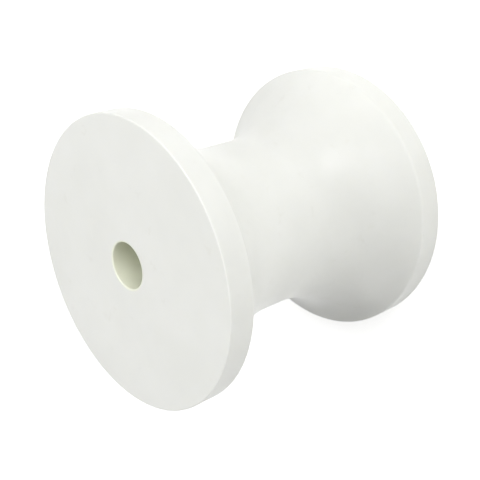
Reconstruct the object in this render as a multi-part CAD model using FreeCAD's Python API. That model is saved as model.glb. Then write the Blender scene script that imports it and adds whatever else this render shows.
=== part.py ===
"""Boat trailer roller: a one-piece white plastic spool that turns on a plain shaft through its bore.

The roller stands on one end face. Z runs along the bore, and the origin is the centre of the lower end face.
Each end is a flange with a short cylindrical rim. Between the flanges the running surface is a concave waist,
where the bow or keel of a boat lies. All sizes are in millimetres.
"""

import FreeCAD
import Part
import math
import os

# Driving sizes of the spool
ROLLER_LENGTH = 101.6
FLANGE_DIAMETER = 101.6
RIM_WIDTH = 9.5
WAIST_DIAMETER = 62.0
WAIST_LAND = 10.0

# The shaft that the roller turns on, and the room it has in the bore, on the diameter
SHAFT_DIAMETER = 15.875
SHAFT_CLEARANCE = 0.325

# How far each sharp edge is broken
FACE_EDGE_CHAMFER = 0.5
FLANK_EDGE_CHAMFER = 0.6
BORE_MOUTH_CHAMFER = 0.5

# Sizes worked out from the driving ones
HALF_LENGTH = ROLLER_LENGTH / 2
RIM_RADIUS = FLANGE_DIAMETER / 2
WAIST_RADIUS = WAIST_DIAMETER / 2
BORE_RADIUS = (SHAFT_DIAMETER + SHAFT_CLEARANCE) / 2
LAND_END = WAIST_LAND / 2

SPIN_AXIS_POINT = FreeCAD.Vector(0, 0, 0)
SPIN_AXIS = FreeCAD.Vector(0, 0, 1)
FULL_TURN = 360


def flank_radius():
    """Radius of the arc that leaves the waist parallel to the bore and climbs to the rim's inner corner."""
    rise = RIM_RADIUS - WAIST_RADIUS
    run = HALF_LENGTH - RIM_WIDTH - LAND_END
    return (run ** 2 + rise ** 2) / (2 * rise)


def end_profile(side):
    """Edges of one end of the section, from the waist's land over the flange to the bore's mouth.

    The section lies in the XZ plane. A point is given by its radius and its distance from the middle of the
    roller. side is 1 for the upper end and -1 for the lower one.
    """

    def at(radius, from_middle):
        return FreeCAD.Vector(radius, 0, HALF_LENGTH + side * from_middle)

    # The concave flank is one arc. Its centre lies outside the roller, level with the end of the land.
    flank = flank_radius()
    flank_centre = WAIST_RADIUS + flank

    def on_flank(climb):
        return at(flank_centre - flank * math.cos(climb), LAND_END + flank * math.sin(climb))

    # It stops where the chamfer cuts its corner with the rim
    flank_top_radius = RIM_RADIUS - FLANK_EDGE_CHAMFER
    full_climb = math.acos((flank_centre - flank_top_radius) / flank)
    flank_edge = Part.Arc(on_flank(0), on_flank(full_climb / 2), on_flank(full_climb))

    # From there the outline runs over the rim, across the flat end face and into the bore
    corners = [
        on_flank(full_climb),
        at(RIM_RADIUS, HALF_LENGTH - RIM_WIDTH + FLANK_EDGE_CHAMFER),
        at(RIM_RADIUS, HALF_LENGTH - FACE_EDGE_CHAMFER),
        at(RIM_RADIUS - FACE_EDGE_CHAMFER, HALF_LENGTH),
        at(BORE_RADIUS + BORE_MOUTH_CHAMFER, HALF_LENGTH),
        at(BORE_RADIUS, HALF_LENGTH - BORE_MOUTH_CHAMFER),
    ]
    straights = [Part.LineSegment(start, end) for start, end in zip(corners, corners[1:])]
    return [edge.toShape() for edge in [flank_edge] + straights]


def middle_edge(radius, half_span):
    """A straight edge of the section, parallel to the axis and centred on the middle of the roller."""
    low = FreeCAD.Vector(radius, 0, HALF_LENGTH - half_span)
    high = FreeCAD.Vector(radius, 0, HALF_LENGTH + half_span)
    return Part.LineSegment(low, high).toShape()


def roller():
    """The whole roller: its closed half section turned about the bore's axis."""
    waist_land = middle_edge(WAIST_RADIUS, LAND_END)
    bore_wall = middle_edge(BORE_RADIUS, HALF_LENGTH - BORE_MOUTH_CHAMFER)
    edges = [waist_land, bore_wall] + end_profile(1) + end_profile(-1)
    section = Part.Face(Part.Wire(Part.sortEdges(edges)[0]))
    return section.revolve(SPIN_AXIS_POINT, SPIN_AXIS, FULL_TURN)


os.makedirs("parts", exist_ok=True)
roller().exportStep("parts/roller.step")
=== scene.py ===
"""Boat trailer roller: a white plastic spool with a concave waist, standing on one end on a pale floor."""
import math
import bpy
import numpy as np
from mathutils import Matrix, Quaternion, Vector


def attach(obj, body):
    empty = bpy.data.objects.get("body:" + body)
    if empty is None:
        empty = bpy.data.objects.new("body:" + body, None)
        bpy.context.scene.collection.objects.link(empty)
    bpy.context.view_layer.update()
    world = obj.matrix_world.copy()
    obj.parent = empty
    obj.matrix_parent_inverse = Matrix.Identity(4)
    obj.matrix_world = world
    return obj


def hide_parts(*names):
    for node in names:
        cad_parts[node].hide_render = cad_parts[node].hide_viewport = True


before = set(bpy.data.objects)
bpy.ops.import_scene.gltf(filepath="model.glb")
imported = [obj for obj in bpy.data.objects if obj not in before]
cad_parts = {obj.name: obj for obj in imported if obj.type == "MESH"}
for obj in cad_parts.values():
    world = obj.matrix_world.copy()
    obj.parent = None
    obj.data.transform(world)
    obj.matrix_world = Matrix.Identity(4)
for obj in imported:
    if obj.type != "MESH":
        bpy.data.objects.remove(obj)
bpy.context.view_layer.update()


# The roller. It is one piece of solid white plastic, moulded to shape and then faced and bored in a lathe.
# Two flat flanges stand at its ends, a concave waist carries the keel between them, and a plain bore for
# the trailer's shaft runs through its middle. Every edge is lightly broken, so that it can't cut a rope.
roller_length = 0.1016
flange_radius = 0.0508
rim_width = 0.0095
waist_radius = 0.031
waist_land = 0.010
bore_radius = 0.0081
face_edge_break = 0.0005
flank_edge_break = 0.0006
bore_edge_break = 0.0005
steps_round_the_roller = 288


def broken_edge(corner, arriving, leaving, set_back, steps=6):
    """The soft break of an edge, seen in section: a parabola tangent to both sides of the corner.

    With t from 0 to 1 the point is corner - arriving * set_back * (1 - t)^2 + leaving * set_back * t^2, where
    arriving and leaving are the unit directions of the outline before and after the corner. One more point
    lies a little outside each end and holds the flat surfaces flat.
    """
    t = np.linspace(0, 1, steps + 1)[:, None]
    corner, arriving, leaving = (np.array(v, float) for v in (corner, arriving, leaving))
    curve = corner - arriving * set_back * (1 - t) ** 2 + leaving * set_back * t ** 2
    hold = 1.4 * set_back
    return np.vstack([corner - arriving * hold, curve, corner + leaving * hold])


def straight(start, end, steps):
    """Points between two ends, without the ends: start + (end - start) * k / steps, k from 1 to steps - 1."""
    share = (np.arange(1, steps) / steps)[:, None]
    return np.array(start) + (np.array(end) - np.array(start)) * share


def upper_outline():
    """The outline of the roller's upper half, as radius and height above the middle, from waist to bore.

    The waist's land is straight. The flank is an arc with its centre outside the roller, level with the end
    of the land: radius = waist + R - R * cos(climb), height = land / 2 + R * sin(climb). R is such that the
    arc meets the inner corner of the rim. The rim, the end face and the bore's wall are straight lines.
    """
    half = roller_length / 2
    rise = flange_radius - waist_radius
    run = half - rim_width - waist_land / 2
    arc = (run ** 2 + rise ** 2) / (2 * rise)
    top_climb = math.asin(run / arc)
    climbing = (math.sin(top_climb), math.cos(top_climb))
    up, down, inwards = (0, 1), (0, -1), (-1, 0)
    rim_inner = broken_edge((flange_radius, half - rim_width), climbing, up, flank_edge_break)
    rim_outer = broken_edge((flange_radius, half), up, inwards, face_edge_break)
    bore_mouth = broken_edge((bore_radius, half), inwards, down, bore_edge_break)

    # The flank's own points stop a little before its broken edge begins
    climb = np.linspace(0, top_climb - 1.8 * flank_edge_break / arc, 49)
    flank = np.stack([waist_radius + arc * (1 - np.cos(climb)), waist_land / 2 + arc * np.sin(climb)], 1)
    land = straight((waist_radius, 0), (waist_radius, waist_land / 2), 4)
    rim = straight(rim_inner[-1], rim_outer[0], 6)
    face = straight(rim_outer[-1], bore_mouth[0], 16)
    bore = straight(bore_mouth[-1], (bore_radius, 0), 12)
    first, last = [(waist_radius, 0)], [(bore_radius, 0)]
    return np.vstack([first, land, flank, rim_inner, rim, rim_outer, face, bore_mouth, bore, last])


def turned_piece(name, outline, steps_round, middle_height):
    """A closed outline carried once round the Z axis.

    The point at step i of the outline and angle a is (radius_i * cos a, radius_i * sin a, middle + height_i).
    Both directions close on themselves, so the surface has no seam and no pole.
    """
    angle = np.linspace(0, 2 * math.pi, steps_round, endpoint=False)
    radius, height = outline[:, :1], outline[:, 1:]
    x, y = radius * np.cos(angle), radius * np.sin(angle)
    z = np.repeat(middle_height + height, steps_round, axis=1)
    points = np.stack([x, y, z], axis=-1).reshape(-1, 3)
    along = np.arange(len(outline))[:, None] * steps_round
    next_along = np.roll(along, -1, axis=0)
    around = np.arange(steps_round)[None, :]
    next_around = np.roll(around, -1, axis=1)
    this_ring = [along + around, along + next_around]
    next_ring = [next_along + next_around, next_along + around]
    faces = np.stack(this_ring + next_ring, axis=-1)
    mesh = bpy.data.meshes.new(name)
    mesh.from_pydata(points.tolist(), [], faces.reshape(-1, 4).tolist())
    mesh.polygons.foreach_set("use_smooth", [True] * len(mesh.polygons))
    mesh.update()
    piece = bpy.data.objects.new(name, mesh)
    bpy.context.scene.collection.objects.link(piece)
    return piece


upper = upper_outline()
lower = upper[::-1] * (1, -1)
outline = np.vstack([upper, lower[1:-1]])
roller = turned_piece("moulded_roller", outline, steps_round_the_roller, roller_length / 2)

# The plastic is white high-density polyethylene with a satin skin. Its white is a little uneven, as moulded
# plastic is, with a few faint scuffs. Inside the bore it is painted lighter and greener: painted light, for
# the light that comes through the bore and bounces between its walls. The skin undulates very slightly and
# has a soft orange peel and, from the lathe, very fine rings round the axis.
dull_white = (0.845, 0.852, 0.812)
clean_white = (0.880, 0.886, 0.850)
scuff_grey = (0.80, 0.80, 0.75)
# Painted light: the bore's wall gets this lighter, greener white for the light that comes through the bore
# and bounces inside it
painted_bore_light = (0.90, 0.915, 0.77)
undulation_depth = 0.00022
orange_peel_depth = 0.00003
lathe_ring_depth = 0.000006
lathe_rings_per_metre = 2600

plastic = bpy.data.materials.new("satin_white_polyethylene")
plastic.use_nodes = True
nodes, links = plastic.node_tree.nodes, plastic.node_tree.links
skin = nodes["Principled BSDF"]
skin.inputs["IOR"].default_value = 1.5
skin.inputs["Specular IOR Level"].default_value = 0.25
skin.inputs["Subsurface Weight"].default_value = 0.12
skin.inputs["Subsurface Radius"].default_value = (1.0, 0.95, 0.8)
skin.inputs["Subsurface Scale"].default_value = 0.002
place = nodes.new("ShaderNodeTexCoord").outputs["Object"]


def patches(scale, detail, roughness=0.5):
    """Soft noise on the roller's own coordinates, from 0 to 1. The scale is in patches per metre."""
    noise = nodes.new("ShaderNodeTexNoise")
    noise.inputs["Scale"].default_value = scale
    noise.inputs["Detail"].default_value = detail
    noise.inputs["Roughness"].default_value = roughness
    links.new(place, noise.inputs["Vector"])
    return noise.outputs["Fac"]


def between(value, low, high, low_end, high_end):
    """Carries a value from the range low to high over to low_end to high_end, and keeps it in there."""
    spread = nodes.new("ShaderNodeMapRange")
    for socket, number in zip(("From Min", "From Max", "To Min", "To Max"), (low, high, low_end, high_end)):
        spread.inputs[socket].default_value = number
    links.new(value, spread.inputs["Value"])
    return spread.outputs["Result"]


def vector_step(operation, vector, other=(0, 0, 0)):
    """The outputs of one step of vector arithmetic. Its second part is constant, and a length needs none."""
    step = nodes.new("ShaderNodeVectorMath")
    step.operation = operation
    step.inputs[1].default_value = other
    links.new(vector, step.inputs[0])
    return step.outputs


def tinted(share, below, above):
    """Mixes a colour, or the output of another mix, with a second colour by a share from 0 to 1."""
    mix = nodes.new("ShaderNodeMix")
    mix.data_type = "RGBA"
    mix.inputs["B"].default_value = (*above, 1)
    links.new(share, mix.inputs["Factor"])
    if isinstance(below, tuple):
        mix.inputs["A"].default_value = (*below, 1)
    else:
        links.new(below, mix.inputs["A"])
    return mix.outputs["Result"]


def raised(height, depth, below=None):
    """Bump of a depth in metres by a height from 0 to 1, laid over the bump below it."""
    bump = nodes.new("ShaderNodeBump")
    bump.inputs["Distance"].default_value = depth
    links.new(height, bump.inputs["Height"])
    if below:
        links.new(below, bump.inputs["Normal"])
    return bump.outputs["Normal"]


# How far a point is from the axis, and how far above or below the roller's middle
across = vector_step("MULTIPLY", place, (1, 1, 0))["Vector"]
from_axis = vector_step("LENGTH", across)["Value"]
seen_from_middle = vector_step("SUBTRACT", place, (0, 0, roller_length / 2))["Vector"]
upwards = vector_step("MULTIPLY", seen_from_middle, (0, 0, 1))["Vector"]
above_or_below = vector_step("LENGTH", upwards)["Value"]

# The lathe's rings follow the sum of the two, which grows all along the flank and changes on every face
along_outline = nodes.new("ShaderNodeMath")
links.new(from_axis, along_outline.inputs[0])
links.new(above_or_below, along_outline.inputs[1])
rings = nodes.new("ShaderNodeTexNoise")
rings.noise_dimensions = "1D"
rings.inputs["Scale"].default_value = lathe_rings_per_metre
rings.inputs["Detail"].default_value = 2
links.new(along_outline.outputs["Value"], rings.inputs["W"])

# Nearly all of the noise lies between these two, and only its highest peaks are scuffs
noise_low, noise_high = 0.3, 0.7
scuffs_begin, scuffs_full, scuff_share = 0.62, 0.72, 0.5
clean = between(patches(scale=45, detail=4), noise_low, noise_high, 0, 1)
white = tinted(clean, dull_white, clean_white)
scuffs = between(patches(scale=130, detail=6, roughness=0.65), scuffs_begin, scuffs_full, 0, scuff_share)
scuffed = tinted(scuffs, white, scuff_grey)

# The bore's painted light fades out across the edge of its mouth
painted_bore_light_full, painted_bore_light_gone = bore_radius + 0.0002, bore_radius + 0.0009
painted_bore_light_share = between(from_axis, painted_bore_light_full, painted_bore_light_gone, 1, 0)
links.new(tinted(painted_bore_light_share, scuffed, painted_bore_light), skin.inputs["Base Color"])

smoothest, roughest = 0.29, 0.39
satin = between(patches(scale=160, detail=5), noise_low, noise_high, smoothest, roughest)
links.new(satin, skin.inputs["Roughness"])

undulation = raised(patches(scale=60, detail=1), undulation_depth)
orange_peel = raised(patches(scale=520, detail=2), orange_peel_depth, undulation)
lathe_rings = raised(rings.outputs["Fac"], lathe_ring_depth, orange_peel)
links.new(lathe_rings, skin.inputs["Normal"])

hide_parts("roller")
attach(roller, "root")
roller.data.materials.append(plastic)


# The studio floor is a wide pale sheet under the roller. It is seen as plain white, and it still takes the
# roller's soft shadow, because part of its white is its own and the rest is the light that falls on it.
floor_reach = 4.0
floor_corners = [(-floor_reach, -floor_reach, 0), (floor_reach, -floor_reach, 0),
                 (floor_reach, floor_reach, 0), (-floor_reach, floor_reach, 0)]
floor_mesh = bpy.data.meshes.new("studio_floor")
floor_mesh.from_pydata(floor_corners, [], [(0, 1, 2, 3)])
floor = bpy.data.objects.new("studio_floor", floor_mesh)
bpy.context.scene.collection.objects.link(floor)


def seen_directly(tree):
    """1 for camera, glossy and transmission rays, and 0 for all others."""
    path = tree.nodes.new("ShaderNodeLightPath")
    either = path.outputs["Is Camera Ray"]
    for kind in ("Is Glossy Ray", "Is Transmission Ray"):
        most = tree.nodes.new("ShaderNodeMath")
        most.operation = "MAXIMUM"
        tree.links.new(either, most.inputs[0])
        tree.links.new(path.outputs[kind], most.inputs[1])
        either = most.outputs["Value"]
    return either


sheet = bpy.data.materials.new("studio_white")
sheet.use_nodes = True
tree = sheet.node_tree
paper = tree.nodes["Principled BSDF"]
paper.inputs["Base Color"].default_value = (0.92, 0.92, 0.91, 1)
paper.inputs["Roughness"].default_value = 0.9
paper.inputs["Specular IOR Level"].default_value = 0.0
paper.inputs["Emission Color"].default_value = (1, 1, 1, 1)

# The lamps light the sheet round the roller, and its own white takes over further out
near_the_roller, near_white = 0.1, 0.56
further_out, full_white = 1.0, 1.0
how_far = tree.nodes.new("ShaderNodeVectorMath")
how_far.operation = "LENGTH"
tree.links.new(tree.nodes.new("ShaderNodeTexCoord").outputs["Object"], how_far.inputs[0])
own_white = tree.nodes.new("ShaderNodeMapRange")
own_white.inputs["From Min"].default_value = near_the_roller
own_white.inputs["From Max"].default_value = further_out
own_white.inputs["To Min"].default_value = near_white
own_white.inputs["To Max"].default_value = full_white
tree.links.new(how_far.outputs["Value"], own_white.inputs["Value"])
shown_white = tree.nodes.new("ShaderNodeMath")
shown_white.operation = "MULTIPLY"
tree.links.new(own_white.outputs["Result"], shown_white.inputs[0])
tree.links.new(seen_directly(tree), shown_white.inputs[1])
tree.links.new(shown_white.outputs["Value"], paper.inputs["Emission Strength"])
floor_mesh.materials.append(sheet)


# The air of the studio is white wherever it is seen or mirrored. Apart from that it gives the roller only a
# trace of even light, because the lamps do the lighting.
studio = bpy.data.worlds.new("studio")
bpy.context.scene.world = studio
studio.use_nodes = True
tree = studio.node_tree
tree.nodes.clear()
soft_light = tree.nodes.new("ShaderNodeBackground")
soft_light.inputs["Strength"].default_value = 0.01
bright = tree.nodes.new("ShaderNodeBackground")
bright.inputs["Color"].default_value = (1, 1, 1, 1)
bright.inputs["Strength"].default_value = 1.0
either_one = tree.nodes.new("ShaderNodeMixShader")
tree.links.new(seen_directly(tree), either_one.inputs["Fac"])
tree.links.new(soft_light.outputs["Background"], either_one.inputs[1])
tree.links.new(bright.outputs["Background"], either_one.inputs[2])
studio_output = tree.nodes.new("ShaderNodeOutputWorld")
tree.links.new(either_one.outputs["Shader"], studio_output.inputs["Surface"])


# The lamps are flat panels, all at the same distance from the roller, and the camera sees none of them.
# Three shape the roller: a wide one overhead, a small key lamp over one side and a low one on the side away
# from it. Two more only fill, and the last is only mirrored.
lamp_distance = 1.2


def soft_lamp(name, bearing, height, power, width, tall):
    """A rectangular lamp at a bearing and a height in degrees, pointing at the roller's middle."""
    lamp = bpy.data.lights.new(name, "AREA")
    lamp.shape = "RECTANGLE"
    lamp.size = width
    lamp.size_y = tall
    lamp.energy = power
    stand = bpy.data.objects.new(name, lamp)
    turn, lift = math.radians(bearing), math.radians(height)
    away = Vector((math.cos(turn) * math.cos(lift), math.sin(turn) * math.cos(lift), math.sin(lift)))
    stand.location = Vector((0, 0, roller_length / 2)) + away * lamp_distance
    stand.rotation_mode = "QUATERNION"
    stand.rotation_quaternion = away.to_track_quat("Z", "Y")
    stand.visible_camera = False
    bpy.context.scene.collection.objects.link(stand)
    return stand


soft_lamp("overhead_lamp", bearing=-38, height=78, power=8.8, width=0.7, tall=0.7)
soft_lamp("small_key_lamp", bearing=-72, height=47, power=1.5, width=0.3, tall=0.3)
soft_lamp("far_lamp", bearing=125, height=9, power=2.6, width=0.7, tall=0.36)

# These two only fill: they light their sides softly and aren't mirrored in the plastic
side_fill = soft_lamp("side_fill_lamp", bearing=-40, height=13, power=1.4, width=0.7, tall=0.4)
near_fill = soft_lamp("near_fill_lamp", bearing=-125, height=25, power=9.7, width=1.3, tall=0.9)
side_fill.visible_glossy = False
near_fill.visible_glossy = False

# This low one is only mirrored, as a faint glint on the lower flank
glint = soft_lamp("glint_lamp", bearing=-102, height=-1, power=4, width=0.14, tall=0.05)
glint.visible_diffuse = False


# The camera stands where the photograph was taken from: above the upper end face and to one side of it, so
# near that the far flange looks smaller, and rolled so that the bore lies across the picture.
camera_distance = 0.3257
aim_below_the_middle = 0.00498
bearing, height, roll = math.radians(-135), math.radians(39.07), math.radians(-109.28)
camera = bpy.data.cameras.new("photo_camera")
camera.sensor_width = 36
camera.lens = 66.97
camera.clip_start = 0.01
camera.clip_end = 20
viewer = bpy.data.objects.new("photo_camera", camera)
bpy.context.scene.collection.objects.link(viewer)
bpy.context.scene.camera = viewer

# It first looks at the roller's middle, and is then tipped to a point a little below that in the picture
away = Vector((math.cos(bearing) * math.cos(height), math.sin(bearing) * math.cos(height), math.sin(height)))
at_the_middle = away.to_track_quat("Z", "Y") @ Quaternion((0, 0, 1), roll)
middle = Vector((0, 0, roller_length / 2))
aim = middle + at_the_middle @ Vector((0, -aim_below_the_middle, 0))
viewer.location = middle + away * camera_distance
viewer.rotation_mode = "QUATERNION"
viewer.rotation_quaternion = away.rotation_difference(viewer.location - aim) @ at_the_middle

bpy.context.scene.view_settings.view_transform = "Standard"
